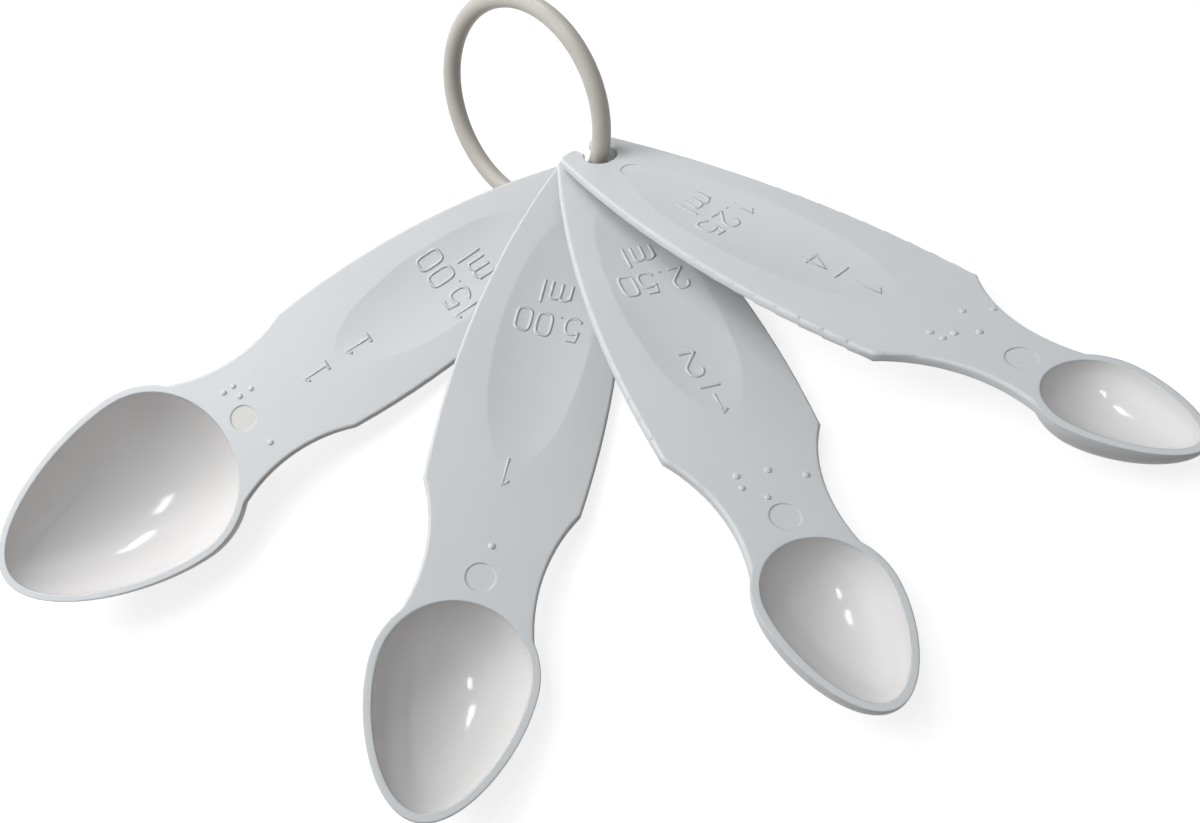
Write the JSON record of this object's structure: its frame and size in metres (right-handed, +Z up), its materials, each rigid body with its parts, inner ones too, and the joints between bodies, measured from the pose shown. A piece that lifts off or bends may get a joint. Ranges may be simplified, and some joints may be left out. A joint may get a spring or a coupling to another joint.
{
  "type": "measuring spoon set",
  "caption": "Fan of flat-handled measuring spoons with egg-shaped bowls, strung on one plain ring.",
  "frame": {"origin": "on the table, under the middle of the bounding box of the fanned set", "axes": "+Z up from the table, -Y the way the fan of bowls points, +X towards the smallest spoon"},
  "size_m": [0.2168, 0.1612, 0.0408],
  "materials": {
    "spoon_plastic": "satin, bowls glossy",
    "ring_plastic": "smooth"
  },
  "bodies": {
    "ring": {"ring": "ring_plastic"},
    "tablespoon": {"tablespoon": "spoon_plastic"},
    "teaspoon": {"teaspoon": "spoon_plastic"},
    "half_teaspoon": {"half_teaspoon": "spoon_plastic"},
    "quarter_teaspoon": {"quarter_teaspoon": "spoon_plastic"}
  },
  "joints": [
    {"name": "tablespoon_swing", "type": "hinge", "parent": "ring", "child": "tablespoon", "pos_m": [0.0051, 0.04861, 0.00521], "axis": [0.3726, -0.3694, 0.8513], "range_deg": [-60, 10]},
    {"name": "teaspoon_swing", "type": "hinge", "parent": "ring", "child": "teaspoon", "pos_m": [0.00892, 0.04725, 0.00797], "axis": [0.5268, -0.0665, 0.8474], "range_deg": [-12, 8]},
    {"name": "half_teaspoon_swing", "type": "hinge", "parent": "ring", "child": "half_teaspoon", "pos_m": [0.01219, 0.04723, 0.0107], "axis": [0.4467, 0.1591, 0.8804], "range_deg": [-6, 6]},
    {"name": "quarter_teaspoon_swing", "type": "hinge", "parent": "ring", "child": "quarter_teaspoon", "pos_m": [0.01505, 0.04789, 0.01391], "axis": [0.3185, 0.2542, 0.9132], "range_deg": [-5, 30]}
  ]
}
